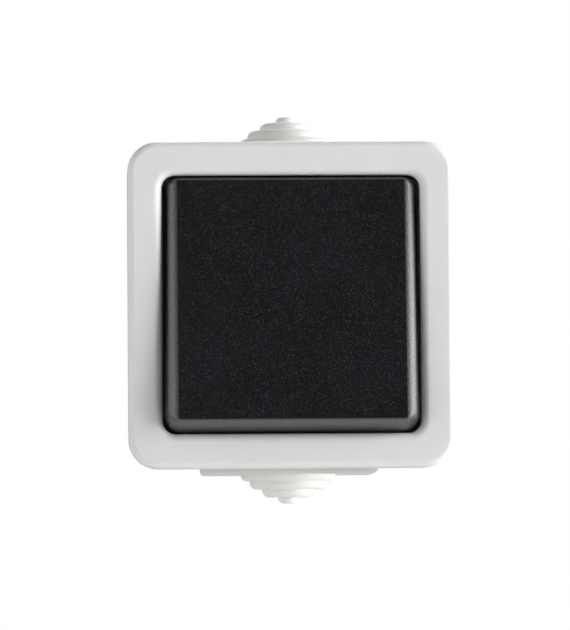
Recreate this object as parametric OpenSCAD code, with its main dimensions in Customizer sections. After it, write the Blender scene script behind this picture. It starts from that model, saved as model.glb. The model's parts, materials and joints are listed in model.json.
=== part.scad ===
// Surface mounted rocker light switch for damp rooms, with stepped cable grommets.
// Drawn on the wall: X is right, Y is up and Z stands out of the wall, in millimetres.
// on_wall() then turns it so that +Z is up and the front looks along -Y.

/* [Frame] */
// Width of the frame
frame_width = 70; // [66:0.5:76]
// Height of the frame
frame_height = 70; // [66:0.5:76]
// Radius of the frame's outer corners, seen from the front
frame_corner_radius = 6.5; // [4.5:0.5:9]
// Distance from the wall to the frame's front face
front_depth = 41; // [40:0.5:46]
// Thickness of the frame's side walls
frame_wall = 2; // [1.6:0.1:2.2]
// Thickness of the frame's front wall
frame_front_wall = 2.2; // [1.8:0.1:3]
// Rounding between the frame's front and sides
frame_edge_radius = 2; // [0.8:0.1:2.2]

/* [Window] */
// Width of the frame's face at each side of the window
side_border = 7.3; // [7:0.1:8.5]
// Height of the frame's face above and below the window
top_border = 7.3; // [7:0.1:8.5]
// Radius of the window's corners
window_corner_radius = 2.7; // [2:0.1:4]
// Rounding of the window's front edge
window_lip_radius = 1.6; // [0.8:0.1:1.7]

/* [Back box] */
// How far the back box is set in from the frame's side
box_inset = 1.2; // [0.8:0.1:1.4]
// Depth of the back box up to the ledge that carries the seal
box_depth = 27; // [26.5:0.5:28]
// Thickness of the back box's side walls
box_wall = 2.2; // [1.8:0.1:2.4]
// Thickness of the back box's floor
box_floor = 2.4; // [2:0.1:3]
// Height of the tongue that stands inside the frame
tongue_height = 3; // [1.5:0.5:3.5]
// Depth of the pockets moulded in the back face
back_pocket_depth = 0.8; // [0.4:0.1:1]
// Thickness of the seal between back box and frame
seal_thickness = 0.8; // [0.6:0.1:1]
// Width of the seal
seal_width = 0.9; // [0.6:0.1:0.9]

/* [Wall fixing] */
// Distance between the wall screw slots across the width
wall_slot_spacing_x = 45; // [44:1:48]
// Distance between the wall screw slots up the height
wall_slot_spacing_y = 24; // [16:1:26]
// Width of the wall screw slots
wall_slot_width = 4.4; // [3.6:0.1:5]
// Length of the wall screw slots
wall_slot_length = 9; // [6:0.5:10]

/* [Cable entries] */
// Distance of the cable entry's axis from the wall
entry_height = 15.8; // [15:0.1:16]
// Diameter of the hole for the grommet
entry_diameter = 19; // [17.6:0.1:19]
// Width of the flat pad around the entry
pad_width = 38; // [34:0.5:42]
// How far the pad stands out past the frame's edge
pad_reach = 1; // [0.6:0.1:2]
// Wall left between the pad's face and the recess behind it
pad_wall = 2.4; // [2:0.1:2.8]
// Diameters of the grommet's steps, largest first
tier_diameters = [20.8, 16.8, 11.4, 4.4];
// Heights of the grommet's steps, largest first
tier_heights = [1.4, 1.8, 1.75, 1.4];
// Rounding of the grommet's steps
tier_rounding = 1.35; // [0.3:0.05:1.4]
// Wall thickness of the grommet
grommet_wall = 0.9; // [0.6:0.1:1.1]
// Thickness of the grommet's inner flange
grommet_flange = 1.1; // [0.8:0.1:1.2]

/* [Rocker] */
// Tilt of the rocker to each side of its middle position, in degrees
rocker_tilt = 5.6; // [4.6:0.2:5.8]
// Height of the untilted rocker face above the frame's front
rocker_proud = 2.3; // [1.8:0.1:3]
// Depth of the rocker's hinge axis behind the frame's front
pivot_depth = 8; // [7.6:0.1:8.2]
// Gap between rocker and window, above and below
rocker_gap = 0.3; // [0.25:0.05:0.6]
// Gap between rocker and window, left and right
rocker_side_gap = 0.6; // [0.4:0.05:0.9]
// Rounding of the rocker's left and right edges
rocker_edge_radius = 2; // [1.2:0.1:2.4]
// Narrowing of each side wall from its rear edge to its shoulder
rocker_side_draft = 0.45; // [0.2:0.05:0.8]
// Radius of the rocker's corners, seen from the front
rocker_corner_radius = 3.3; // [2.4:0.1:4]
// Wall thickness of the rocker
rocker_wall = 1.8; // [1.4:0.1:2]

/* [Splash tray] */
// Depth of the splash tray
tray_depth = 9.3; // [9:0.1:9.6]
// Thickness of the splash tray's floor
tray_floor = 2; // [1.6:0.1:2.2]
// Thickness of the splash tray's wall
tray_wall = 1.4; // [1.1:0.1:1.5]
// Height of the drip collar round the tray's aperture
collar_height = 1.5; // [1:0.1:2]
// Width of the aperture for the mechanism
aperture_width = 25; // [24:0.5:28]
// Height of the aperture for the mechanism
aperture_height = 38; // [37:0.5:40]

/* [Mechanism] */
// Width of the mechanism's insulating body
mechanism_width = 36; // [34.5:0.5:36.5]
// Height of the mechanism's insulating body
mechanism_height = 38; // [37:0.5:42]
// Thickness of the bearing plate on the mechanism
bearing_plate_thickness = 1.8; // [1.4:0.1:2]
// Diameter of the actuator's hinge pins
trunnion_diameter = 4; // [3:0.1:4.4]
// Outer diameter of the actuator's barrel
barrel_diameter = 7.4; // [6.8:0.1:7.8]
// Diameter of the spring loaded plunger
plunger_diameter = 4; // [3.4:0.1:4.4]
// Stroke of the plunger into its barrel
plunger_stroke = 0.8; // [0.4:0.1:1]
// Tilt of the contact lever to each side of its middle position, in degrees
lever_tilt = 7; // [5:0.5:8]
// Half length of the contact lever
lever_reach = 10.5; // [10.4:0.1:11.5]
// Thickness of the contact lever
lever_thickness = 0.8; // [0.6:0.1:1]
// Width of the contact lever and of the contact strips
strip_width = 5; // [4:0.2:5.4]
// Thickness of the contact strips
strip_thickness = 1; // [0.8:0.1:1.2]
// Distance of the contact tips from the lever's middle
tip_offset = 8.7; // [8.4:0.1:8.8]
// Diameter of the contact tips
tip_diameter = 3.4; // [2.6:0.1:3.6]
// Side of the square terminal blocks
block_side = 7.4; // [6.4:0.1:7.4]
// Diameter of the wire holes in the terminal blocks
wire_hole_diameter = 3.2; // [2.6:0.1:3.4]

/* [Fasteners] */
// Thread diameter of the screws that hold the mechanism and the splash tray
screw_diameter = 3; // [2.6:0.1:3.2]
// Head diameter of those screws
screw_head_diameter = 5.6; // [5:0.1:6]
// Head height of those screws
screw_head_height = 1.8; // [1.4:0.1:2]
// Thread length of the screws that hold the splash tray
tray_screw_length = 12; // [8:0.5:16]

/* [Clearances] */
// Gap between pieces that slide or hook together
fit_gap = 0.2; // [0.1:0.05:0.25]
// Radial clearance of the hinge pins in their bearings
pin_clearance = 0.06; // [0.03:0.01:0.1]
// Gap between contact pieces that the plunger presses together
contact_gap = 0.15; // [0.1:0.05:0.2]

/* [Hidden] */
$fn = 64;
cut = 1;          // how far a cut runs past the face it opens
bite = 0.4;       // how far a joined piece runs into its carrier

// Window
window_width = frame_width - 2 * side_border;
window_height = frame_height - 2 * top_border;

// Levels above the wall
frame_back = box_depth + seal_thickness;
frame_inside = front_depth - frame_front_wall;
pivot_height = front_depth - pivot_depth;
rocker_face = front_depth + rocker_proud;
lip_back_level = pivot_depth - frame_front_wall;       // above the hinge axis
tray_back = frame_inside - tray_depth;
tray_top = tray_back + tray_floor;

// Back box
box_width = frame_width - 2 * box_inset;
box_height = frame_height - 2 * box_inset;
box_corner_radius = frame_corner_radius - box_inset;
tongue_width = frame_width - 2 * frame_wall - 3 * fit_gap;
tongue_height_y = frame_height - 2 * frame_wall - 3 * fit_gap;
tongue_corner_radius = frame_corner_radius - frame_wall - 1.5 * fit_gap;
box_top = box_depth + tongue_height;
pad_face = frame_height / 2 + pad_reach;
pad_back = 3.6;
pad_front = box_depth - 0.4;
pad_corner_radius = 1;
wall_boss_margin = 2;
wall_boss_height = 1.2;
back_rib = 4;
back_rim = 4.6;
post_diameter = 6.4;

// Grommet
flange_radius = entry_diameter / 2 + 0.5;
neck_radius = entry_diameter / 2 - fit_gap / 4;
recess_margin = 0.2;

// Rocker, measured from its hinge axis
face_level = rocker_face - pivot_height;
rocker_radius = sqrt(pow(window_height / 2 - rocker_gap, 2) + pow(lip_back_level, 2));
rocker_half_width = window_width / 2 - rocker_side_gap;
shoulder_half_width = rocker_half_width - rocker_side_draft;
rocker_floor_gap = 0.35;
rib_thickness = 1.5;
rib_spacing = 9;
rib_length = 16;
clip_width = 6;
clip_thickness = 1.4;
clip_hook = 1;
skirt_level = (rocker_radius * sin(rocker_tilt) + tray_top - pivot_height + rocker_floor_gap)
    / cos(rocker_tilt);

// Splash tray
tray_margin = 0.5;
tray_inner_width = 2 * (rocker_half_width + 3 * tray_margin);
tray_inner_height = 2 * (rocker_radius + tray_margin);
tray_corner_radius = 3;
tray_outer_width = tray_inner_width + 2 * tray_wall;
tray_outer_height = tray_inner_height + 2 * tray_wall;
collar_wall = 1.2;
tray_screw_gap = 0.6;
tray_screw_x = rocker_half_width - rocker_wall - screw_head_diameter / 2 - tray_screw_gap;
tray_screw_y = window_height / 2 - rocker_gap - rocker_wall - screw_head_diameter / 2 - tray_screw_gap;
aperture_corner_radius = 2;

// Snap hooks of the frame, which hold the tray's floor from behind
hook_x = tray_outer_width / 2 + fit_gap;
hook_thickness = 1.2;
hook_width = 8;
hook_y = 15;
hook_barb = 0.8;
hook_barb_height = 1.1;

// Mechanism
mechanism_back = 6.5;
mechanism_front = tray_back - bearing_plate_thickness - 0.7;
strip_level = 10.1;
strip_top = strip_level + strip_thickness;
plate_top = mechanism_front + bearing_plate_thickness;
chamber_width = 12.4;
chamber_height = 26;
terminal_x = mechanism_width / 2 - 1 - block_side / 2;
terminal_y = 9;
terminals = [[-terminal_x, 0], [terminal_x, terminal_y], [terminal_x, -terminal_y]];
block_height = 8;
wire_level = strip_top + 2.6;
mechanism_screw_y = mechanism_height / 2 - 3.5;

// Contact lever and its tips, measured from the lever's pivot
tip_height = 0.9;
fixed_tip_height = 0.8;
lever_pivot_height = strip_top + fixed_tip_height + contact_gap + tip_height;
ridge_radius = 0.8;
ridge_top = lever_pivot_height - 0.1;

// Actuator and plunger, measured from the hinge axis
hub_radius = 3.5;
hub_half_width = 7.5;
ear_thickness = 3;
ear_gap = 0.3;
saddle_level = 4;
saddle_thickness = 2;
saddle_half_width = 7.4;
saddle_half_height = 9;
plunger_tip_level = lever_pivot_height + lever_thickness + 0.25 - pivot_height;
barrel_end_level = plunger_tip_level + 6;
spring_top_level = -1;
plunger_rear_level = -6;
bore_radius = plunger_diameter / 2 + fit_gap / 2;

// Plunger spring
spring_wire = 0.5;
spring_turns = 5.5;
spring_radius = plunger_diameter / 2 - 0.45;
spring_sides = 8;
spring_steps = 16;

// Turns the switch from the drawing plane on the wall into its own frame
module on_wall() {
    rotate([90, 0, 0]) children();
}

// Tilts the moving pieces to the position in which the rocker's top is pressed in
module at_rest_tilt() {
    translate([0, 0, pivot_height]) rotate([-rocker_tilt, 0, 0]) children();
}

// Copies its children above and below, or left and right
module above_and_below() {
    children();
    mirror([0, 1, 0]) children();
}

module left_and_right() {
    children();
    mirror([1, 0, 0]) children();
}

// Places the tray screws in two opposite corners
module tray_screw_places() {
    for (corner = [-1, 1]) translate([corner * tray_screw_x, corner * tray_screw_y, 0]) children();
}

module rounded_outline(width, height, radius) {
    square([width - 2 * radius, height], center = true);
    square([width, height - 2 * radius], center = true);
    for (x = [-1, 1], y = [-1, 1])
        translate([x * (width / 2 - radius), y * (height / 2 - radius)]) circle(radius);
}

module rounded_plate(width, height, radius, from, to) {
    translate([0, 0, from]) linear_extrude(to - from) rounded_outline(width, height, radius);
}

// A block with rounded corners whose edge has the section given as its child.
// The section runs from 0, above the corner's axis, outwards, and from level "from" to level "to".
module shaped_block(width, height, radius, from, to) {
    straight_x = width - 2 * radius;
    straight_y = height - 2 * radius;
    rotate([90, 0, 90]) translate([0, 0, -straight_x / 2]) linear_extrude(straight_x) {
        for (side = [0, 1]) mirror([side, 0]) translate([straight_y / 2, 0]) children();
        translate([-straight_y / 2, from]) square([straight_y, to - from]);
    }
    for (side = [0, 1]) mirror([side, 0, 0]) translate([straight_x / 2, 0, 0])
        rotate([90, 0, 0]) translate([0, 0, -straight_y / 2]) linear_extrude(straight_y) children();
    for (quarter = [0:3])
        translate([(quarter == 0 || quarter == 3 ? 1 : -1) * straight_x / 2,
            (quarter < 2 ? 1 : -1) * straight_y / 2, 0])
        rotate(90 * quarter) rotate_extrude(angle = 90) children();
}

// Section of an edge that is rounded at the front
module rounded_edge_section(reach, rounding, from, to) {
    translate([0, from]) square([reach, to - from - rounding]);
    translate([0, from]) square([reach - rounding, to - from]);
    translate([reach - rounding, to - rounding]) circle(rounding);
}

// Section of the flare that leaves the window with a rounded lip
module lip_cut_section(reach, rounding, front) {
    difference() {
        translate([0, front - rounding]) square([reach + rounding, rounding + cut]);
        translate([reach + rounding, front - rounding]) circle(rounding);
        translate([reach + rounding - bite / 4, front - cut]) square([cut, 3 * cut]);
    }
}

module frame_hook() {
    translate([hook_x, hook_y - hook_width / 2, tray_back - fit_gap / 2 - hook_barb_height])
        cube([hook_thickness, hook_width, frame_inside + bite - tray_back + hook_barb_height + fit_gap / 2]);
    translate([hook_x + bite, hook_y + hook_width / 2, tray_back - fit_gap / 2])
        rotate([90, 0, 0]) linear_extrude(hook_width)
            polygon([[0, 0], [-hook_barb - bite, 0], [-hook_barb - bite, -hook_barb_height / 3],
                [0, -hook_barb_height]]);
}

module front_frame() {
    color([0.86, 0.86, 0.85]) on_wall() {
        difference() {
            shaped_block(frame_width, frame_height, frame_corner_radius, frame_back, front_depth)
                rounded_edge_section(frame_corner_radius, frame_edge_radius, frame_back, front_depth);
            rounded_plate(frame_width - 2 * frame_wall, frame_height - 2 * frame_wall,
                frame_corner_radius - frame_wall, frame_back - cut, frame_inside);
            rounded_plate(window_width, window_height, window_corner_radius,
                frame_inside - cut, front_depth + cut);
            shaped_block(window_width, window_height, window_corner_radius,
                front_depth - window_lip_radius, front_depth + cut)
                lip_cut_section(window_corner_radius, window_lip_radius, front_depth);
        }
        left_and_right() above_and_below() frame_hook();
    }
}

module wall_slot_places() {
    for (x = [-1, 1], y = [-1, 1])
        translate([x * wall_slot_spacing_x / 2, y * wall_slot_spacing_y / 2, 0]) children();
}

// A slot along X that is as wide and as long as the wall screws need, and wider by the margin
module slot(margin, from, to) {
    width = wall_slot_width + 2 * margin;
    straight = wall_slot_length - wall_slot_width;
    translate([0, 0, from]) linear_extrude(to - from) {
        square([straight, width], center = true);
        for (x = [-1, 1]) translate([x * straight / 2, 0]) circle(d = width);
    }
}

// Shallow pockets in the back face, beside a cross of ribs and clear of the slots
module back_pockets() {
    slot_clear = wall_slot_width / 2 + wall_boss_margin;
    inner_x = wall_slot_spacing_x / 2 - wall_slot_length / 2 - wall_boss_margin;
    inner_y = wall_slot_spacing_y / 2 + slot_clear;
    outer_y = box_height / 2 - back_rim;
    for (x = [0, 1], y = [0, 1]) mirror([x, 0, 0]) mirror([0, y, 0])
        translate([back_rib / 2, back_rib / 2, -cut]) linear_extrude(cut + back_pocket_depth) {
            square([inner_x - back_rib / 2, inner_y - back_rib]);
            translate([0, inner_y]) square([box_width / 2 - back_rim - back_rib / 2,
                outer_y - inner_y - back_rib / 2]);
        }
}

module entry_recess() {
    side = 2 * (flange_radius + recess_margin);
    translate([-side / 2, 0, entry_height - side / 2]) cube([side, pad_face - pad_wall, side]);
}

module back_box() {
    inner_width = box_width - 2 * box_wall;
    inner_height = box_height - 2 * box_wall;
    inner_radius = box_corner_radius - box_wall;
    color([0.84, 0.84, 0.83]) on_wall() difference() {
        union() {
            difference() {
                union() {
                    rounded_plate(box_width, box_height, box_corner_radius, 0, box_depth);
                    rounded_plate(tongue_width, tongue_height_y, tongue_corner_radius,
                        box_depth - bite, box_top);
                    rounded_plate(pad_width, 2 * pad_face, pad_corner_radius, pad_back, pad_front);
                }
                rounded_plate(inner_width, inner_height, inner_radius, box_floor, box_top + cut);
                above_and_below() entry_recess();
            }
            wall_slot_places() slot(wall_boss_margin, box_floor - bite, box_floor + wall_boss_height);
            above_and_below() translate([0, mechanism_screw_y, box_floor - bite])
                cylinder(d = post_diameter, h = mechanism_back - box_floor + bite);
            tray_screw_places() translate([0, 0, box_floor - bite])
                cylinder(d = post_diameter, h = tray_back - box_floor + bite);
        }
        above_and_below() translate([0, 0, entry_height]) rotate([-90, 0, 0])
            cylinder(d = entry_diameter, h = pad_face + cut);
        wall_slot_places() slot(0, -cut, box_floor + wall_boss_height + cut);
        above_and_below() translate([0, mechanism_screw_y, box_floor / 2])
            cylinder(d = screw_diameter + fit_gap / 2, h = mechanism_back);
        tray_screw_places() translate([0, 0, tray_back - tray_screw_length])
            cylinder(d = screw_diameter + fit_gap / 2, h = tray_screw_length + cut);
        back_pockets();
    }
}

module housing_seal() {
    outer_width = tongue_width + 2 * (fit_gap / 4 + seal_width);
    outer_height = tongue_height_y + 2 * (fit_gap / 4 + seal_width);
    outer_radius = tongue_corner_radius + fit_gap / 4 + seal_width;
    color([0.35, 0.36, 0.37]) on_wall() difference() {
        rounded_plate(outer_width, outer_height, outer_radius, box_depth, frame_back);
        rounded_plate(outer_width - 2 * seal_width, outer_height - 2 * seal_width,
            outer_radius - seal_width, box_depth - cut, frame_back + cut);
    }
}

// Height of the grommet's steps below step number n
function height_before(n) = n == 0 ? 0 : tier_heights[n - 1] + height_before(n - 1);

module tier_section(radius, height, rounding) {
    square([radius, height - rounding]);
    square([radius - rounding, height]);
    intersection() {
        translate([radius - rounding, height - rounding]) circle(rounding);
        square([radius, height]);
    }
}

// Grommet about its own axis: the pad's face is level 0, and inside the box is negative
module grommet() {
    last = len(tier_diameters) - 1;
    rotate_extrude() difference() {
        intersection() {
            union() {
                for (n = [0:last]) translate([0, max(height_before(n) - bite, 0)])
                    tier_section(tier_diameters[n] / 2,
                        tier_heights[n] + min(height_before(n), bite), tier_rounding);
                translate([0, -pad_wall]) square([neck_radius, pad_wall + bite]);
                translate([0, -pad_wall - grommet_flange]) square([flange_radius, grommet_flange]);
            }
            translate([0, -pad_wall - grommet_flange - cut])
                square([2 * flange_radius, 2 * pad_wall + height_before(last + 1) + cut]);
        }
        translate([-cut, -pad_wall - grommet_flange - cut])
            square([neck_radius - grommet_wall + cut,
                pad_wall + grommet_flange + cut + tier_heights[0] - grommet_wall]);
        for (n = [1:last - 1]) translate([-cut, 0])
            square([tier_diameters[n] / 2 - grommet_wall + cut, height_before(n + 1) - grommet_wall]);
    }
}

module upper_grommet() {
    color([0.87, 0.87, 0.86]) on_wall()
        translate([0, pad_face, entry_height]) rotate([-90, 0, 0]) grommet();
}

module lower_grommet() {
    color([0.87, 0.87, 0.86]) on_wall()
        translate([0, -pad_face, entry_height]) rotate([90, 0, 0]) grommet();
}

// The rocker's outer or inner form about the hinge axis: a wheel rim whose sides and shoulders are cut to shape
module rocker_form(inset) {
    radius = rocker_radius - inset;
    half_width = rocker_half_width - inset;
    corner = max(rocker_corner_radius - inset, 0.6);
    edge = max(rocker_edge_radius - inset, 0.5);
    shoulder = shoulder_half_width - inset;
    top = face_level - inset;
    intersection() {
        rotate([0, 90, 0]) translate([0, 0, -half_width]) rotate_extrude() {
            translate([0, corner]) square([radius, 2 * half_width - 2 * corner]);
            square([radius - corner, 2 * half_width]);
            for (y = [corner, 2 * half_width - corner]) translate([radius - corner, y]) circle(corner);
        }
        rotate([90, 0, 0]) linear_extrude(2 * rocker_radius, center = true) {
            polygon([[-half_width, skirt_level - (inset > 0 ? cut : 0)],
                [half_width, skirt_level - (inset > 0 ? cut : 0)],
                [shoulder, top - edge], [-shoulder, top - edge]]);
            translate([-shoulder + edge, top - 2 * edge]) square([2 * (shoulder - edge), 2 * edge]);
            for (x = [-1, 1]) translate([x * (shoulder - edge), top - edge]) circle(edge);
        }
    }
}

module rocker() {
    rib_level = saddle_level + saddle_thickness;
    face_inside = face_level - rocker_wall + bite;
    clip_y = saddle_half_height + fit_gap;
    clip_level = saddle_level - clip_hook - fit_gap / 2;
    color([0.14, 0.14, 0.15]) on_wall() at_rest_tilt() {
        difference() {
            rocker_form(0);
            rocker_form(rocker_wall);
        }
        left_and_right() translate([rib_spacing / 2, -rib_length / 2, rib_level])
            cube([rib_thickness, rib_length, face_inside - rib_level]);
        above_and_below() translate([-clip_width / 2, clip_y, clip_level]) {
            cube([clip_width, clip_thickness, face_inside - clip_level]);
            translate([0, -clip_hook, 0]) cube([clip_width, clip_hook + bite, clip_hook]);
        }
    }
}

module screw(length) {
    difference() {
        union() {
            translate([0, 0, -length]) cylinder(d = screw_diameter, h = length + bite);
            cylinder(d = screw_head_diameter, h = screw_head_height);
        }
        translate([-screw_head_diameter, -0.4, screw_head_height - 0.8])
            cube([2 * screw_head_diameter, 0.8, cut + 0.8]);
    }
}

module splash_tray() {
    color([0.82, 0.82, 0.81]) on_wall() difference() {
        union() {
            difference() {
                rounded_plate(tray_outer_width, tray_outer_height, tray_corner_radius + tray_wall,
                    tray_back, frame_inside);
                rounded_plate(tray_inner_width, tray_inner_height, tray_corner_radius,
                    tray_top, frame_inside + cut);
            }
            rounded_plate(aperture_width + 2 * collar_wall, aperture_height + 2 * collar_wall,
                aperture_corner_radius + collar_wall, tray_top - bite, tray_top + collar_height);
        }
        rounded_plate(aperture_width, aperture_height, aperture_corner_radius,
            tray_back - cut, tray_top + collar_height + cut);
        tray_screw_places() translate([0, 0, tray_back - cut])
            cylinder(d = screw_diameter + 2 * fit_gap, h = tray_floor + 2 * cut);
    }
}

module tray_screws() {
    color("silver") on_wall() tray_screw_places() translate([0, 0, tray_top])
        screw(tray_screw_length);
}

module terminal_places() {
    for (place = terminals) translate([place[0], place[1], 0]) children();
}

module mechanism_body() {
    block_room = block_side + fit_gap;
    wire_channel = wire_hole_diameter + 3 * fit_gap;
    color([0.92, 0.92, 0.9]) on_wall() difference() {
        rounded_plate(mechanism_width, mechanism_height, 2, mechanism_back, mechanism_front);
        rounded_plate(chamber_width, chamber_height, 1, strip_level, mechanism_front + cut);
        terminal_places() {
            translate([-block_room / 2, -block_room / 2, strip_level])
                cube([block_room, block_room, mechanism_front]);
        }
        for (place = terminals) {
            translate([place[0] > 0 ? 0 : place[0], place[1] - strip_width / 2 - fit_gap / 2, strip_level])
                cube([terminal_x, strip_width + fit_gap, mechanism_front]);
            translate([place[0], place[1], wire_level]) rotate([place[1] > 0 ? -90 : 90, 0, 0])
                cylinder(d = wire_channel, h = mechanism_height);
        }
        above_and_below() translate([0, mechanism_screw_y, mechanism_back - cut])
            cylinder(d = screw_diameter + 2 * fit_gap, h = mechanism_front);
    }
}

module bearing_plate() {
    ear_inside = hub_half_width + ear_gap;
    ear_half_height = hub_radius;
    color([0.9, 0.9, 0.88]) on_wall() difference() {
        union() {
            rounded_plate(mechanism_width, mechanism_height, 2, mechanism_front, plate_top);
            left_and_right() translate([ear_inside, -ear_half_height, plate_top - bite])
                cube([ear_thickness, 2 * ear_half_height, pivot_height - plate_top + bite]);
            left_and_right() translate([ear_inside, 0, pivot_height]) rotate([0, 90, 0])
                cylinder(r = ear_half_height, h = ear_thickness);
        }
        left_and_right() translate([ear_inside - cut, 0, pivot_height]) rotate([0, 90, 0])
            cylinder(r = trunnion_diameter / 2 + pin_clearance, h = ear_thickness + 2 * cut);
        rounded_plate(barrel_diameter + 2, barrel_diameter + 5, 1, mechanism_front - cut, plate_top + cut);
        terminal_places() translate([0, 0, mechanism_front - cut])
            cylinder(d = screw_head_diameter, h = bearing_plate_thickness + 2 * cut);
        above_and_below() translate([0, mechanism_screw_y, mechanism_front - cut])
            cylinder(d = screw_diameter + 2 * fit_gap, h = bearing_plate_thickness + 2 * cut);
    }
}

module mechanism_screws() {
    color("silver") on_wall() above_and_below() translate([0, mechanism_screw_y, plate_top])
        screw(plate_top - box_floor / 2 - fit_gap);
}

module actuator() {
    color([0.93, 0.93, 0.91]) on_wall() at_rest_tilt() difference() {
        union() {
            rotate([0, 90, 0]) cylinder(r = hub_radius, h = 2 * hub_half_width, center = true);
            rotate([0, 90, 0]) cylinder(d = trunnion_diameter, center = true,
                h = 2 * (hub_half_width + ear_gap + ear_thickness - fit_gap));
            translate([0, 0, barrel_end_level]) cylinder(d = barrel_diameter, h = -barrel_end_level);
            translate([-saddle_half_width + 1, -hub_radius + 0.5, 0])
                cube([2 * saddle_half_width - 2, 2 * hub_radius - 1, saddle_level + bite]);
            translate([-saddle_half_width, -saddle_half_height, saddle_level])
                cube([2 * saddle_half_width, 2 * saddle_half_height, saddle_thickness]);
        }
        translate([0, 0, barrel_end_level - cut])
            cylinder(r = bore_radius, h = spring_top_level - barrel_end_level + cut);
    }
}

module plunger() {
    nose = plunger_diameter / 2;
    color([0.25, 0.4, 0.6]) on_wall() at_rest_tilt() {
        translate([0, 0, plunger_tip_level + nose])
            cylinder(r = nose, h = plunger_rear_level - plunger_tip_level - nose);
        translate([0, 0, plunger_tip_level + nose]) sphere(nose);
    }
}

// Ring number i of the spring's tube, as points around its wire
function spring_ring(i, rings, length) =
    let (turn = 360 * spring_turns * i / (rings - 1),
        level = length * i / (rings - 1))
    [for (j = [0:spring_sides - 1])
        let (around = 360 * j / spring_sides,
            reach = spring_radius + spring_wire / 2 * cos(around))
        [reach * cos(turn), reach * sin(turn), level + spring_wire / 2 * sin(around)]];

module plunger_spring() {
    rings = spring_turns * spring_steps + 1;
    length = spring_top_level - plunger_rear_level - spring_wire;
    points = [for (i = [0:rings - 1]) each spring_ring(i, rings, length)];
    sides = [for (i = [0:rings - 2], j = [0:spring_sides - 1])
        let (next = (j + 1) % spring_sides)
        [i * spring_sides + j, (i + 1) * spring_sides + j,
            (i + 1) * spring_sides + next, i * spring_sides + next]];
    first_end = [for (j = [0:spring_sides - 1]) j];
    last_end = [for (j = [spring_sides - 1:-1:0]) (rings - 1) * spring_sides + j];
    color("silver") on_wall() at_rest_tilt() translate([0, 0, plunger_rear_level + spring_wire / 2])
        polyhedron(points, concat([first_end, last_end], sides), convexity = 12);
}

// The contact lever's parts about its pivot, tilted so that its lower arm is closed
module at_lever_rest() {
    translate([0, 0, lever_pivot_height]) rotate([lever_tilt, 0, 0]) children();
}

module contact_lever() {
    rise = lever_reach * tan(lever_tilt);
    color("goldenrod") on_wall() at_lever_rest() rotate([90, 0, 90])
        linear_extrude(strip_width, center = true)
            polygon([[-lever_reach, rise], [0, 0], [lever_reach, rise],
                [lever_reach, rise + lever_thickness], [0, lever_thickness],
                [-lever_reach, rise + lever_thickness]]);
}

module moving_contact_tips() {
    color("silver") on_wall() at_lever_rest() above_and_below()
        rotate([lever_tilt, 0, 0]) translate([0, tip_offset, -tip_height])
            cylinder(d = tip_diameter, h = tip_height);
}

module contact_strip(end_x) {
    reach = terminal_x + block_side / 2;
    translate([min(end_x, reach * sign(-end_x)), -strip_width / 2, strip_level])
        cube([reach + abs(end_x), strip_width, strip_thickness]);
}

module common_contact() {
    color("goldenrod") on_wall() {
        contact_strip(strip_width / 2);
        translate([-strip_width / 2, -ridge_radius, strip_top - bite])
            cube([strip_width, 2 * ridge_radius, ridge_top - ridge_radius - strip_top + bite]);
        translate([0, 0, ridge_top - ridge_radius]) rotate([0, 90, 0])
            cylinder(r = ridge_radius, h = strip_width, center = true);
    }
}

module upper_contact() {
    color("goldenrod") on_wall() translate([0, terminal_y, 0]) contact_strip(-strip_width / 2);
}

module lower_contact() {
    color("goldenrod") on_wall() translate([0, -terminal_y, 0]) contact_strip(-strip_width / 2);
}

module fixed_contact_tips() {
    color("silver") on_wall() above_and_below() translate([0, tip_offset, strip_top])
        cylinder(d = tip_diameter, h = fixed_tip_height);
}

module terminal_blocks() {
    color("khaki") on_wall() terminal_places() difference() {
        translate([-block_side / 2, -block_side / 2, strip_top])
            cube([block_side, block_side, block_height]);
        translate([0, 0, wire_level]) rotate([90, 0, 0])
            cylinder(d = wire_hole_diameter, h = block_side + 2 * cut, center = true);
        translate([0, 0, wire_level]) cylinder(d = screw_diameter + fit_gap / 2, h = block_height);
    }
}

module terminal_screws() {
    head_level = strip_top + block_height + 1;
    color("silver") on_wall() terminal_places() translate([0, 0, head_level]) difference() {
        union() {
            translate([0, 0, wire_level - head_level + wire_hole_diameter / 2])
                cylinder(d = screw_diameter, h = head_level - wire_level - wire_hole_diameter / 2 + bite);
            cylinder(d = screw_head_diameter - 2 * fit_gap, h = screw_head_height);
        }
        translate([-screw_head_diameter, -0.4, screw_head_height - 0.8])
            cube([2 * screw_head_diameter, 0.8, cut + 0.8]);
    }
}

front_frame();
back_box();
housing_seal();
upper_grommet();
lower_grommet();
rocker();
splash_tray();
tray_screws();
mechanism_body();
bearing_plate();
mechanism_screws();
actuator();
plunger();
plunger_spring();
contact_lever();
moving_contact_tips();
common_contact();
upper_contact();
lower_contact();
fixed_contact_tips();
terminal_blocks();
terminal_screws();
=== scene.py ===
import json
import math

import bmesh
import bpy
from mathutils import Matrix, Vector


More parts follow.
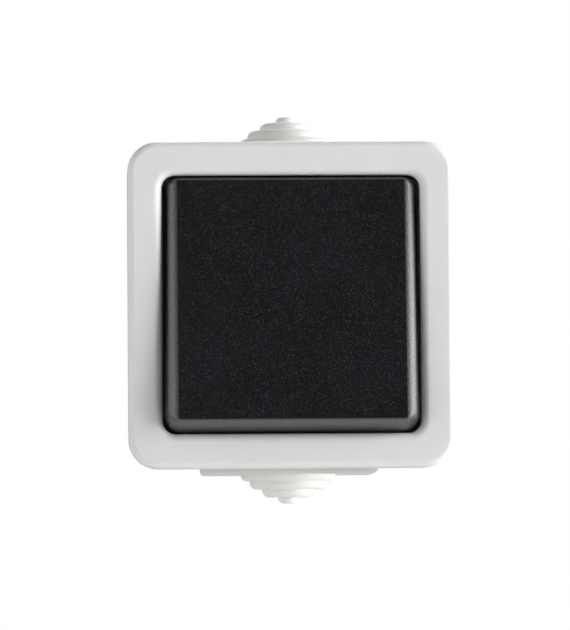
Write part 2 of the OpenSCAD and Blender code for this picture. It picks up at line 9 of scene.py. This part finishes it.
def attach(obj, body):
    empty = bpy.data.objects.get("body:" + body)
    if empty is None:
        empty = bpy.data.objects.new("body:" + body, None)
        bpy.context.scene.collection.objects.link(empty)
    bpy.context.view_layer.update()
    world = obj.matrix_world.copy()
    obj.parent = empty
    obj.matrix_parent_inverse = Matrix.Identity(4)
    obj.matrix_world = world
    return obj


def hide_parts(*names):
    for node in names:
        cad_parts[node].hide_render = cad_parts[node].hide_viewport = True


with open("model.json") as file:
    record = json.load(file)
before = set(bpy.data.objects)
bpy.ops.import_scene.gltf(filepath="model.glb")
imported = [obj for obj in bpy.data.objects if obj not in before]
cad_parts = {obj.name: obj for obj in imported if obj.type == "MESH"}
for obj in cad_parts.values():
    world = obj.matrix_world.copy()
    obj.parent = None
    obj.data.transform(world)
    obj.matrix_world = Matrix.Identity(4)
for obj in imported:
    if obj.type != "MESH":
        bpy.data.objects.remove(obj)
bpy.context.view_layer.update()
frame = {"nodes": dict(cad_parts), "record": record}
nodes = frame["nodes"]
mm = 0.001


# Shader maths as plain expressions

class Wire:
    # one output socket; sums, differences and products of wires add their Math nodes
    def __init__(self, paint, socket):
        self.paint, self.socket = paint, socket

    def maths(self, kind, first, second):
        return self.paint.add("ShaderNodeMath", {"operation": kind}, [first, second])

    def __add__(self, other):
        return self.maths("ADD", self, other)

    def __radd__(self, other):
        return self.maths("ADD", other, self)

    def __sub__(self, other):
        return self.maths("SUBTRACT", self, other)

    def __mul__(self, other):
        return self.maths("MULTIPLY", self, other)

    def swing(self, amount):
        # a pattern about zero, which adds as much as it takes away
        return (self - 0.5) * amount


class Paint:
    # one material in the making; sizes, widths and depths are in millimetres
    spelt = {"baseColor": "Base Color", "roughness": "Roughness", "metallic": "Metallic",
        "normal": "Normal", "specular": "Specular IOR Level", "coat": "Coat Weight",
        "coatRoughness": "Coat Roughness"}
    bevel = {"samples": 4, "flat": 0.995, "sharp": 0.85}

    def __init__(self, name):
        self.material = bpy.data.materials.new(name)
        self.material.use_nodes = True
        self.tree = self.material.node_tree
        self.tree.nodes.clear()
        self.at = self.add("ShaderNodeTexCoord", out="Object")

    def add(self, kind, settings=None, sockets=(), out=0):
        # settings are the node's own values, sockets its inputs by name, by number or in order
        node = self.tree.nodes.new(kind)
        for key, value in (settings or {}).items():
            setattr(node, key, value)
        for key, value in sockets.items() if isinstance(sockets, dict) else enumerate(sockets):
            if isinstance(value, Wire):
                self.tree.links.new(value.socket, node.inputs[key])
            else:
                node.inputs[key].default_value = value
        return Wire(self, node.outputs[out]) if node.outputs else None

    def noise(self, size, detail=2.0, stretch=None):
        # size is the width of a cell, and stretch makes cells narrower along an axis
        at = self.at
        if stretch:
            at = self.add("ShaderNodeMapping", sockets={"Vector": at, "Scale": stretch})
        return self.add("ShaderNodeTexNoise",
            sockets={"Vector": at, "Scale": 1 / (size * mm), "Detail": detail})

    def cells(self, size, out="Distance"):
        return self.add("ShaderNodeTexVoronoi",
            sockets={"Vector": self.at, "Scale": 1 / (size * mm)}, out=out)

    def between(self, value, low, high):
        # 0 up to low and 1 from high, with a soft change; low may be the larger one
        return self.add("ShaderNodeMapRange", {"interpolation_type": "SMOOTHSTEP"},
            {"Value": value, "From Min": low, "From Max": high, "To Min": 0.0, "To Max": 1.0})

    def mix(self, factor, first, second):
        return self.add("ShaderNodeMix", {"data_type": "RGBA"}, {0: factor, 6: first, 7: second}, 2)

    def channel(self, colour):
        # one of a random colour's three numbers
        return self.add("ShaderNodeSeparateColor", sockets=[colour])

    def worn(self, width):
        # 1 on edges, where a rounded normal and the true one part, and 0 on flats
        rounded = self.add("ShaderNodeBevel", {"samples": self.bevel["samples"]}, {"Radius": width * mm})
        true = self.add("ShaderNodeNewGeometry", out="Normal")
        alike = self.add("ShaderNodeVectorMath", {"operation": "DOT_PRODUCT"}, [rounded, true], "Value")
        return self.between(alike, self.bevel["flat"], self.bevel["sharp"])

    def relief(self, height, depth, strength, under=None):
        sockets = {"Strength": strength, "Distance": depth * mm, "Height": height}
        if under:
            sockets["Normal"] = under
        return self.add("ShaderNodeBump", sockets=sockets)

    def finish(self, **sockets):
        shader = self.add("ShaderNodeBsdfPrincipled",
            sockets={self.spelt[key]: value for key, value in sockets.items()})
        self.add("ShaderNodeOutputMaterial", sockets={"Surface": shader})
        return self.material


def tone(level, red=0.0, blue=0.0):
    # a grey, its red and blue moved by a share of its level
    return (level * (1 + red), level, level * (1 + blue), 1)


# Finishes

def makeHousingPlastic():
    look = {"level": 0.74, "grain": 0.32, "cloud": 9, "edge": 0.5, "roughness": 0.46}
    paint = Paint("housing plastic")
    grain = paint.noise(look["grain"], detail=3)
    cloud = paint.noise(look["cloud"])
    edge = paint.worn(look["edge"])
    colour = paint.mix(paint.between(cloud, low=0.3, high=0.7), tone(look["level"] * 0.985, blue=-0.012),
        tone(look["level"] * 1.01, red=0.002, blue=-0.008))
    colour = paint.mix(grain * 0.06, colour, tone(look["level"] * 0.8, blue=-0.01))
    colour = paint.mix(edge * 0.35, colour, tone(look["level"] * 1.06, red=0.004, blue=-0.012))
    rough = look["roughness"] + grain.swing(0.16) - edge * 0.07
    return paint.finish(baseColor=colour, roughness=rough, specular=0.45,
        normal=paint.relief(grain, depth=0.012, strength=0.6))


def makeGrommetRubber():
    look = {"level": 0.76, "skin": 0.5, "dust": 3.5, "edge": 0.6, "roughness": 0.56}
    paint = Paint("grommet rubber")
    skin = paint.noise(look["skin"], detail=4)
    dust = paint.noise(look["dust"], detail=3)
    edge = paint.worn(look["edge"])
    colour = paint.mix(paint.between(dust, low=0.35, high=0.75), tone(look["level"], red=0.012, blue=-0.03),
        tone(look["level"] * 0.95, red=0.016, blue=-0.035))
    colour = paint.mix(edge * 0.3, colour, tone(look["level"] * 1.06, red=0.01, blue=-0.02))
    rough = look["roughness"] + skin.swing(0.2) - edge * 0.06
    return paint.finish(baseColor=colour, roughness=rough, specular=0.4,
        normal=paint.relief(skin, depth=0.02, strength=0.35))


def makeSealRubber():
    look = {"skin": 0.4, "bloom": 4, "roughness": 0.62}
    paint = Paint("seal rubber")
    skin = paint.noise(look["skin"], detail=4)
    bloom = paint.noise(look["bloom"], detail=3)
    colour = paint.mix(paint.between(bloom, low=0.4, high=0.8), tone(0.07, red=-0.02, blue=0.05),
        tone(0.1, red=-0.01, blue=0.04))
    return paint.finish(baseColor=colour, roughness=look["roughness"] + skin.swing(0.25), specular=0.35,
        normal=paint.relief(skin, depth=0.03, strength=0.5))


def makeRockerPlastic(name="rocker plastic", edges=False):
    # black with a spark-eroded grain whose sparkle is partly its bump and partly painted glints, light flecks
    # in the colour; the grain scatters more where the edges are rounded
    look = {"level": 0.0055, "paintedGlintLevel": 0.055, "edgeLight": 0.02, "grain": 0.38, "fine": 0.15, "cloud": 14,
        "edge": 0.4, "roughness": 0.5 if edges else 0.3, "specular": 1.0 if edges else 0.85,
        "grainDepth": 0.07 if edges else 0.015, "coat": 0.3 if edges else 0.0}
    paint = Paint(name)
    grain = paint.cells(look["grain"])
    pick = paint.channel(paint.cells(look["grain"], out="Color"))
    fine = paint.noise(look["fine"])
    cloud = paint.noise(look["cloud"])
    edge = paint.worn(look["edge"])
    # painted glints: light flecks on some grain cells, standing in for the glints of the spark-eroded grain
    paintedGlint = paint.between(pick, low=0.15, high=1.0) * paint.between(grain, low=0.5, high=0.12)
    colour = paint.mix(paint.between(cloud, low=0.3, high=0.7),
        tone(look["level"] * 0.8, red=-0.06, blue=0.3), tone(look["level"] * 1.2, red=-0.04, blue=0.3))
    # the painted glints mixed into the colour
    colour = paint.mix(paintedGlint, colour, tone(look["paintedGlintLevel"], red=-0.03, blue=0.12))
    colour = paint.mix(edge * 0.5, colour, tone(look["edgeLight"], blue=0.05))
    rough = look["roughness"] + fine.swing(0.3) - paintedGlint * 0.06
    relief = paint.relief(grain, look["grainDepth"], strength=0.6)
    return paint.finish(baseColor=colour, roughness=rough, specular=look["specular"], coat=look["coat"],
        coatRoughness=0.42, normal=paint.relief(fine, depth=0.012, strength=0.5, under=relief))


def makeRockerWall():
    # the smooth sides of the rocker, without the grain and its painted glints
    look = {"skin": 0.5, "flow": 5, "flowStretch": (1, 1, 0.4), "edge": 0.3, "roughness": 0.33}
    paint = Paint("rocker wall plastic")
    skin = paint.noise(look["skin"], detail=3)
    flow = paint.noise(look["flow"], stretch=look["flowStretch"])
    edge = paint.worn(look["edge"])
    colour = paint.mix(paint.between(flow, low=0.3, high=0.7), tone(0.005, red=0.05, blue=-0.02),
        tone(0.007, red=0.08, blue=-0.03))
    colour = paint.mix(edge * 0.5, colour, tone(0.03, red=0.04))
    return paint.finish(baseColor=colour, roughness=look["roughness"] + skin.swing(0.12), specular=1.0,
        coat=0.4, coatRoughness=0.3, normal=paint.relief(skin, depth=0.01, strength=0.3))


def makeMechanismPlastic():
    look = {"flow": 2.2, "flowStretch": (1, 0.5, 2), "skin": 0.25, "edge": 0.3, "roughness": 0.4}
    paint = Paint("mechanism plastic")
    flow = paint.noise(look["flow"], detail=4, stretch=look["flowStretch"])
    skin = paint.noise(look["skin"])
    edge = paint.worn(look["edge"])
    colour = paint.mix(paint.between(flow, low=0.3, high=0.75), tone(0.76, red=0.012, blue=-0.05),
        tone(0.70, red=0.02, blue=-0.07))
    colour = paint.mix(edge * 0.4, colour, tone(0.82, red=0.01, blue=-0.03))
    return paint.finish(baseColor=colour, roughness=look["roughness"] + skin.swing(0.2) + flow * 0.06,
        specular=0.5, normal=paint.relief(skin, depth=0.012, strength=0.4))


def makePlungerPlastic():
    look = {"rings": 0.35, "ringStretch": (1, 5, 1), "edge": 0.2, "roughness": 0.3}
    paint = Paint("plunger plastic")
    rings = paint.noise(look["rings"], detail=3, stretch=look["ringStretch"])
    edge = paint.worn(look["edge"])
    colour = paint.mix(rings * 0.4, (0.012, 0.07, 0.24, 1), (0.02, 0.1, 0.3, 1))
    colour = paint.mix(edge * 0.6, colour, (0.1, 0.2, 0.4, 1))
    return paint.finish(baseColor=colour, roughness=look["roughness"] + rings * 0.12, specular=0.5,
        normal=paint.relief(rings, depth=0.01, strength=0.4))


def makeZincSteel():
    look = {"spangle": 0.7, "brush": 0.2, "brushStretch": (1, 8, 1), "edge": 0.2, "roughness": 0.34}
    paint = Paint("zinc plated steel")
    spangle = paint.noise(look["spangle"], detail=4)
    brush = paint.noise(look["brush"], detail=3, stretch=look["brushStretch"])
    edge = paint.worn(look["edge"])
    colour = paint.mix(paint.between(spangle, low=0.35, high=0.7),
        (0.56, 0.57, 0.6, 1), (0.66, 0.66, 0.64, 1))
    colour = paint.mix(edge * 0.5, colour, (0.8, 0.8, 0.8, 1))
    rough = look["roughness"] + brush.swing(0.25) - edge * 0.1
    return paint.finish(baseColor=colour, metallic=1.0, roughness=rough,
        normal=paint.relief(brush, depth=0.01, strength=0.5))


def makeContactBrass():
    look = {"rolled": 0.3, "rolledStretch": (1, 1, 6), "tarnish": 1.8, "edge": 0.25, "roughness": 0.3}
    paint = Paint("contact brass")
    rolled = paint.noise(look["rolled"], detail=3, stretch=look["rolledStretch"])
    tarnish = paint.noise(look["tarnish"], detail=5)
    edge = paint.worn(look["edge"])
    colour = paint.mix(paint.between(tarnish, low=0.45, high=0.7),
        (0.72, 0.47, 0.17, 1), (0.5, 0.31, 0.12, 1))
    colour = paint.mix(edge * 0.6, colour, (0.85, 0.62, 0.28, 1))
    rough = look["roughness"] + tarnish * 0.22 - edge * 0.08
    return paint.finish(baseColor=colour, metallic=1.0, roughness=rough,
        normal=paint.relief(rolled, depth=0.012, strength=0.5))


def makeContactSilver():
    look = {"pits": 0.25, "bloom": 0.9, "roughness": 0.26}
    paint = Paint("contact silver")
    pits = paint.noise(look["pits"], detail=4)
    bloom = paint.noise(look["bloom"], detail=3)
    colour = paint.mix(paint.between(bloom, low=0.4, high=0.7), (0.8, 0.79, 0.77, 1), (0.52, 0.5, 0.46, 1))
    return paint.finish(baseColor=colour, metallic=1.0, roughness=look["roughness"] + pits * 0.25,
        normal=paint.relief(pits, depth=0.02, strength=0.5))


finishes = {"housing_plastic": makeHousingPlastic(), "grommet_rubber": makeGrommetRubber(),
    "seal_rubber": makeSealRubber(), "rocker_plastic": makeRockerPlastic(),
    "mechanism_plastic": makeMechanismPlastic(), "plunger_plastic": makePlungerPlastic(),
    "zinc_steel": makeZincSteel(), "contact_brass": makeContactBrass(), "contact_silver": makeContactSilver()}
print("finishes made")

for part in frame["record"]["subparts"]:
    node = nodes[part["node"]]
    node.data.materials.clear()
    node.data.materials.append(finishes[part["material_slot"]])
print("CAD nodes finished")


# Pieces, in millimetres from the wall until they are placed

def roundOff(mesh, parts, radius, steps, kind="EDGES"):
    bmesh.ops.bevel(mesh, geom=[part for part in parts if part.is_valid], offset=radius, offset_type="OFFSET",
        segments=steps, profile=0.5, affect=kind, material=-1)


def ring(mesh, halfWidth, halfHeight, radius, level, steps=10):
    # the edges of a rounded rectangle that faces the room
    known = set(mesh.edges)
    corners = bmesh.ops.create_grid(mesh, x_segments=1, y_segments=1, size=1)["verts"]
    bmesh.ops.scale(mesh, vec=(halfWidth, halfHeight, 1), verts=corners)
    bmesh.ops.translate(mesh, vec=(0, 0, level), verts=corners)
    roundOff(mesh, corners, radius, steps, "VERTICES")
    edges = [edge for edge in mesh.edges if edge not in known]
    bmesh.ops.delete(mesh, geom=[edges[0].link_faces[0]], context="FACES_ONLY")
    return edges


def joinUp(mesh, rings, closed=False):
    for first, second in zip(rings, rings[1:] + rings[:1] if closed else rings[1:]):
        bmesh.ops.bridge_loops(mesh, edges=first + second)


def block(mesh, corner, opposite):
    # a box between two opposite corners, in any order
    low, high = [min(pair) for pair in zip(corner, opposite)], [max(pair) for pair in zip(corner, opposite)]
    made = bmesh.ops.create_cube(mesh, size=1)["verts"]
    bmesh.ops.scale(mesh, vec=[b - a for a, b in zip(low, high)], verts=made)
    bmesh.ops.translate(mesh, vec=[(a + b) / 2 for a, b in zip(low, high)], verts=made)
    return made


def place(mesh, name, materials, body, node, turned=Matrix.Identity(4), sharp=32):
    # from millimetres above the wall to metres in the shared frame, with smooth shading
    facing = Matrix.Rotation(math.radians(90), 4, "X")
    bmesh.ops.transform(mesh, matrix=turned @ facing @ Matrix.Scale(mm, 4), verts=mesh.verts)
    bmesh.ops.remove_doubles(mesh, verts=mesh.verts, dist=1e-7)
    bmesh.ops.recalc_face_normals(mesh, faces=mesh.faces)
    data = bpy.data.meshes.new(name)
    mesh.to_mesh(data)
    mesh.free()
    data.shade_smooth()
    data.set_sharp_from_angle(angle=math.radians(sharp))
    for material in materials:
        data.materials.append(material)
    piece = bpy.data.objects.new(name, data)
    bpy.context.scene.collection.objects.link(piece)
    weighted = piece.modifiers.new("even shading", "WEIGHTED_NORMAL")
    weighted.keep_sharp = True
    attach(piece, body)
    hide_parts(node)
    print(name, "made,", len(data.polygons), "faces")


def makeFrontFrame():
    # a hollow square with a window, and four snap hooks inside; roundings are a radius and its steps
    size = {"half": 35, "corner": 6.5, "back": 27.8, "front": 41, "wall": 2, "frontWall": 2.2,
        "window": 27.7, "windowCorner": 2.7, "edge": (1.5, 8), "lip": (1.8, 7), "rim": (0.25, 2),
        "hooks": {"x": 31.6, "thick": 1.2, "y": 15, "wide": 8, "level": 28.3, "sunk": 0.3,
            "barb": 0.8, "barbHeight": 1.1, "barbSlope": 0.7}}
    mesh = bmesh.new()
    inside = size["front"] - size["frontWall"]
    half, window, within = size["half"], size["window"], size["half"] - size["wall"]
    rim = ring(mesh, half, half, size["corner"], size["back"])
    front = ring(mesh, half, half, size["corner"], size["front"])
    lip = ring(mesh, window, window, size["windowCorner"], size["front"])
    lipBack = ring(mesh, window, window, size["windowCorner"], inside)
    ceiling = ring(mesh, within, within, size["corner"] - size["wall"], inside)
    rimInside = ring(mesh, within, within, size["corner"] - size["wall"], size["back"])
    joinUp(mesh, [rim, front, lip, lipBack, ceiling, rimInside], closed=True)
    roundOff(mesh, front, *size["edge"])
    roundOff(mesh, lip, *size["lip"])
    roundOff(mesh, rim, *size["rim"])
    hook = size["hooks"]
    near, far, level = hook["x"], hook["x"] + hook["thick"], hook["level"]
    low, high = hook["y"] - hook["wide"] / 2, hook["y"] + hook["wide"] / 2
    for x in (-1, 1):
        for y in (-1, 1):
            block(mesh, (x * near, y * low, level), (x * far, y * high, inside + hook["sunk"]))
            barb = block(mesh, (x * near, y * low, level),
                (x * (near - hook["barb"]), y * high, level + hook["barbHeight"]))
            tip = [vert for vert in barb if vert.co.z < level + hook["barbHeight"] / 2
                and abs(vert.co.x) < near - hook["barb"] / 2]
            bmesh.ops.translate(mesh, vec=(0, 0, hook["barbSlope"]), verts=tip)
    place(mesh, "front_frame_shell", [finishes["housing_plastic"]], "housing", "front_frame")


def makeRocker():
    # a thin shell, measured from the hinge axis; its top and bottom are parts of a wheel about that axis
    size = {"radius": 28.03, "half": 27.25, "skirt": 1.6, "shoulder": 5.0, "shoulderDrop": 0.25, "face": 10.3,
        "faceHalf": 24.1, "edgeRadius": 2.6, "edgeTurn": 78, "lipRounding": 0.6, "corners": (0.4, 3.3),
        "wall": 1.8, "pivot": 33, "tilt": 5.6, "sunk": 0.3,
        "grained": {"half": 24.45, "level": 8.7, "flat": 0.95},
        "steps": {"wall": 6, "draft": 4, "edge": 12, "corner": 14},
        "ribs": {"gap": 4.5, "thick": 1.5, "length": 16, "level": 6},
        "clips": {"wide": 6, "thick": 1.4, "at": 9.2, "level": 2.9, "barb": 1}}
    mesh = bmesh.new()

    def profile(inset):
        # reach and level of each ring, from the skirt over the shoulder and round the edge to the face
        arc, end, steps = size["edgeRadius"] - inset, math.radians(size["edgeTurn"]), size["steps"]
        centre = size["face"] - size["edgeRadius"]
        skirt = (size["half"] - inset, size["skirt"])
        shoulder = (size["half"] - inset, size["shoulder"] - inset * size["shoulderDrop"])
        edge = (size["faceHalf"] + arc * math.sin(end), centre + arc * math.cos(end))
        path = []
        for (reach, level), (nextReach, nextLevel), count in (
                (skirt, shoulder, steps["wall"]), (shoulder, edge, steps["draft"])):
            for step in range(count):
                share = step / count
                path.append((reach + (nextReach - reach) * share, level + (nextLevel - level) * share))
        for step in range(steps["edge"] + 1):
            turn = end * (1 - step / steps["edge"])
            path.append((size["faceHalf"] + arc * math.sin(turn), centre + arc * math.cos(turn)))
        return path

    def shell(inset):
        # rings on the wheel, which is rounded off where it meets the face
        radius, top, rounding = size["radius"] - inset, size["face"] - inset, size["lipRounding"]
        lipAt = math.sqrt((radius - rounding) ** 2 - (top - rounding) ** 2)
        lipLevel = (top - rounding) * radius / (radius - rounding)
        sharp, blunt = size["corners"]
        rings = []
        for reach, level in profile(inset):
            if level < lipLevel:
                height = math.sqrt(radius ** 2 - level ** 2)
            else:
                height = lipAt + math.sqrt(max(rounding ** 2 - (level - top + rounding) ** 2, 0))
            share = (reach + inset - size["faceHalf"]) / (size["half"] - size["faceHalf"])
            corner = max(sharp + (blunt - sharp) * share - inset, sharp)
            rings.append(ring(mesh, reach, height, corner, level, size["steps"]["corner"]))
        joinUp(mesh, rings)
        bmesh.ops.edgeloop_fill(mesh, edges=rings[-1])
        return rings

    outer, inner = shell(0), shell(size["wall"])
    bmesh.ops.bridge_loops(mesh, edges=outer[0] + inner[0])
    bmesh.ops.remove_doubles(mesh, verts=mesh.verts, dist=1e-3)
    under = size["face"] - size["wall"] + size["sunk"]
    rib, clip, grained = size["ribs"], size["clips"], size["grained"]
    for side in (-1, 1):
        block(mesh, (side * rib["gap"], -rib["length"] / 2, rib["level"]),
            (side * (rib["gap"] + rib["thick"]), rib["length"] / 2, under))
        block(mesh, (-clip["wide"] / 2, side * clip["at"], clip["level"]),
            (clip["wide"] / 2, side * (clip["at"] + clip["thick"]), under))
        block(mesh, (-clip["wide"] / 2, side * clip["at"], clip["level"]),
            (clip["wide"] / 2, side * (clip["at"] - clip["barb"]), clip["level"] + clip["barb"]))
    for face in mesh.faces:
        # a grained face, coarser rounded edges and smooth walls
        face.normal_update()
        middle, normal = face.calc_center_median(), face.normal
        outside = middle.z > grained["level"]
        if outside and abs(middle.x) < grained["half"] and normal.z > grained["flat"]:
            face.material_index = 0
        elif outside and abs(normal.y) < abs(normal.x):
            face.material_index = 1
        else:
            face.material_index = 2
    atRest = (Matrix.Translation((0, -size["pivot"] * mm, 0))
        @ Matrix.Rotation(math.radians(-size["tilt"]), 4, "X"))
    materials = [finishes["rocker_plastic"], makeRockerPlastic("rocker edge plastic", edges=True),
        makeRockerWall()]
    place(mesh, "rocker_cap", materials, "rocker", "rocker", atRest, sharp=24)


def makeGrommet(name, node, upwards):
    # a wall that steps down from a wide foot to a nub, spun about the cable's axis
    size = {"axisLevel": 15.8, "foot": 36, "radii": (10.4, 8.4, 5.7, 2.2), "heights": (1.4, 1.8, 1.75, 1.4),
        "rounding": (1.3, 1.35, 1.5, 1.25), "innerRounding": 0.3, "valley": 0.22, "neck": 9.45, "flange": 10,
        "flangeRounding": (0.3, 0.15), "flangeThick": 1.1, "padWall": 2.4, "wall": 0.9, "turns": 72,
        "steps": 7}
    mesh = bmesh.new()
    radii, heights, wall, neck, flange = (size[key] for key in ("radii", "heights", "wall", "neck", "flange"))
    low, top = -size["padWall"] - size["flangeThick"], -size["padWall"]
    lowRounding, topRounding = size["flangeRounding"]
    # each point is a reach from the axis, a height above the foot and a rounding
    outside = [(neck - wall, low, 0), (flange, low, lowRounding), (flange, top, topRounding), (neck, top, 0),
        (neck, 0, 0)]
    height = 0
    for radius, rise, rounding in zip(radii, heights, size["rounding"]):
        outside += [(radius, height, size["valley"] if height else 0), (radius, height + rise, rounding)]
        height += rise
    outside.append((0, height, 0))
    inside = [(0, sum(heights[:3]) - wall, 0)]
    for number in (2, 1):
        reach = radii[number] - wall
        inside += [(reach, sum(heights[:number + 1]) - wall, size["innerRounding"]),
            (reach, sum(heights[:number]) - wall, 0)]
    inside.append((neck - wall, heights[0] - wall, 0))
    points = outside + inside
    verts = [mesh.verts.new((reach, 0, height)) for reach, height, _ in points]
    for first, second in zip(verts, verts[1:] + verts[:1]):
        if first.co.x > 0 or second.co.x > 0:
            mesh.edges.new((first, second))
    for vert, (_, _, rounding) in zip(verts, points):
        if rounding:
            roundOff(mesh, [vert], rounding, size["steps"], "VERTICES")
    bmesh.ops.spin(mesh, geom=list(mesh.verts) + list(mesh.edges), cent=(0, 0, 0), axis=(0, 0, 1),
        angle=math.radians(360), steps=size["turns"], use_merge=True, dvec=(0, 0, 0))
    bmesh.ops.remove_doubles(mesh, verts=mesh.verts, dist=1e-4)
    turned = Matrix.Rotation(math.radians(-90 if upwards else 90), 4, "X")
    shift = Matrix.Translation((0, size["foot"] if upwards else -size["foot"], size["axisLevel"]))
    bmesh.ops.transform(mesh, matrix=shift @ turned, verts=mesh.verts)
    place(mesh, name, [finishes["grommet_rubber"]], "housing", node, sharp=50)


makeFrontFrame()
makeRocker()
makeGrommet("upper_cable_grommet", "upper_grommet", True)
makeGrommet("lower_cable_grommet", "lower_grommet", False)


# Floor, light and camera

studio = {"floorLevel": -0.6, "floorSize": 3.2, "floorCells": 24,
    "surround": {"From Min": -0.15, "From Max": 0.35, "To Min": 0.018, "To Max": 0.15},
    "target": (0, -0.03, 0), "away": 2.0, "spread": 180,
    "lamps": {"right": {"turn": 76, "rise": 8, "size": 2.2, "power": 85},
        "right behind": {"turn": 108, "rise": 5, "size": 2.0, "power": 6},
        "left front": {"turn": -45, "rise": 0, "size": 1.4, "power": 7},
        "left middle": {"turn": -60, "rise": 10, "size": 1.4, "power": 7},
        "left": {"turn": -85, "rise": 0, "size": 2.0, "power": 13},
        "above": {"turn": 0, "rise": 62, "size": 1.6, "power": 4},
        "floor wash": {"turn": 180, "rise": 38, "away": 1.7, "size": 0.8, "power": 2.6, "aim": (0, 0.2, -0.6),
            "spread": 70}}}
camera = {"at": (-0.044555, -1.090041, -0.057864), "pitch": 3.025, "yaw": -2.353, "roll": -0.415,
    "focalPixels": 4915.514, "tallPixels": 630, "sensor": 36, "clip": (0.05, 20)}


def makeFloor():
    mesh = bmesh.new()
    bmesh.ops.create_grid(mesh, x_segments=studio["floorCells"], y_segments=studio["floorCells"],
        size=studio["floorSize"] / 2)
    bmesh.ops.translate(mesh, verts=mesh.verts, vec=(0, 0, studio["floorLevel"]))
    data = bpy.data.meshes.new("floor")
    mesh.to_mesh(data)
    mesh.free()
    floor = bpy.data.objects.new("floor", data)
    bpy.context.scene.collection.objects.link(floor)
    paint = Paint("floor paper")
    fibre = paint.noise(size=3, detail=4)
    colour = paint.mix(fibre * 0.5, tone(0.8, blue=-0.01), tone(0.76, blue=-0.012))
    data.materials.append(paint.finish(baseColor=colour, roughness=0.8,
        normal=paint.relief(fibre, depth=0.1, strength=0.3)))


def makeLamps():
    # a lamp stands at a turn and a rise as seen from the object, and shines at it unless it has its own aim
    target = Vector(studio["target"])
    for name, lamp in studio["lamps"].items():
        light = bpy.data.lights.new(name, "AREA")
        light.shape, light.size, light.energy = "DISK", lamp["size"], lamp["power"]
        light.spread = math.radians(lamp.get("spread", studio["spread"]))
        turn, rise = math.radians(lamp["turn"]), math.radians(lamp["rise"])
        towards = Vector((math.sin(turn) * math.cos(rise), -math.cos(turn) * math.cos(rise), math.sin(rise)))
        holder = bpy.data.objects.new(name, light)
        holder.location = target + towards * lamp.get("away", studio["away"])
        backwards = holder.location - Vector(lamp.get("aim", target))
        holder.rotation_euler = backwards.to_track_quat("Z", "Y").to_euler()
        holder.visible_camera = False
        bpy.context.scene.collection.objects.link(holder)


def makeSurround():
    # a pale sheet behind the object and a dim room in front; the camera sees plain white past the object
    world = bpy.data.worlds.new("surround")
    world.use_nodes = True
    tree = world.node_tree
    tree.nodes.clear()
    towards = tree.nodes.new("ShaderNodeTexCoord")
    parts = tree.nodes.new("ShaderNodeSeparateXYZ")
    behind = tree.nodes.new("ShaderNodeMapRange")
    behind.interpolation_type = "SMOOTHSTEP"
    for key, value in studio["surround"].items():
        behind.inputs[key].default_value = value
    seen = tree.nodes.new("ShaderNodeLightPath")
    blend = tree.nodes.new("ShaderNodeMixShader")
    output = tree.nodes.new("ShaderNodeOutputWorld")
    light, white = tree.nodes.new("ShaderNodeBackground"), tree.nodes.new("ShaderNodeBackground")
    white.inputs["Color"].default_value = (1, 1, 1, 1)
    for source, target in ((towards.outputs["Generated"], parts.inputs[0]),
            (parts.outputs["Y"], behind.inputs["Value"]),
            (behind.outputs[0], light.inputs["Strength"]),
            (seen.outputs["Is Camera Ray"], blend.inputs[0]),
            (light.outputs[0], blend.inputs[1]),
            (white.outputs[0], blend.inputs[2]),
            (blend.outputs[0], output.inputs["Surface"])):
        tree.links.new(source, target)
    bpy.context.scene.world = world


def makeCamera():
    lens = bpy.data.cameras.new("photo camera")
    lens.sensor_width, lens.sensor_fit = camera["sensor"], "AUTO"
    lens.lens = camera["focalPixels"] * camera["sensor"] / camera["tallPixels"]
    lens.clip_start, lens.clip_end = camera["clip"]
    holder = bpy.data.objects.new("photo camera", lens)
    turned = Matrix.Rotation(math.radians(90), 4, "X")
    for key, axis in (("yaw", "Y"), ("pitch", "X"), ("roll", "Z")):
        turned = turned @ Matrix.Rotation(math.radians(camera[key]), 4, axis)
    holder.matrix_world = Matrix.Translation(camera["at"]) @ turned
    bpy.context.scene.collection.objects.link(holder)
    bpy.context.scene.camera = holder


makeFloor()
makeLamps()
makeSurround()
makeCamera()
bpy.context.scene.view_settings.view_transform = "Standard"
print("stage, light and camera made")
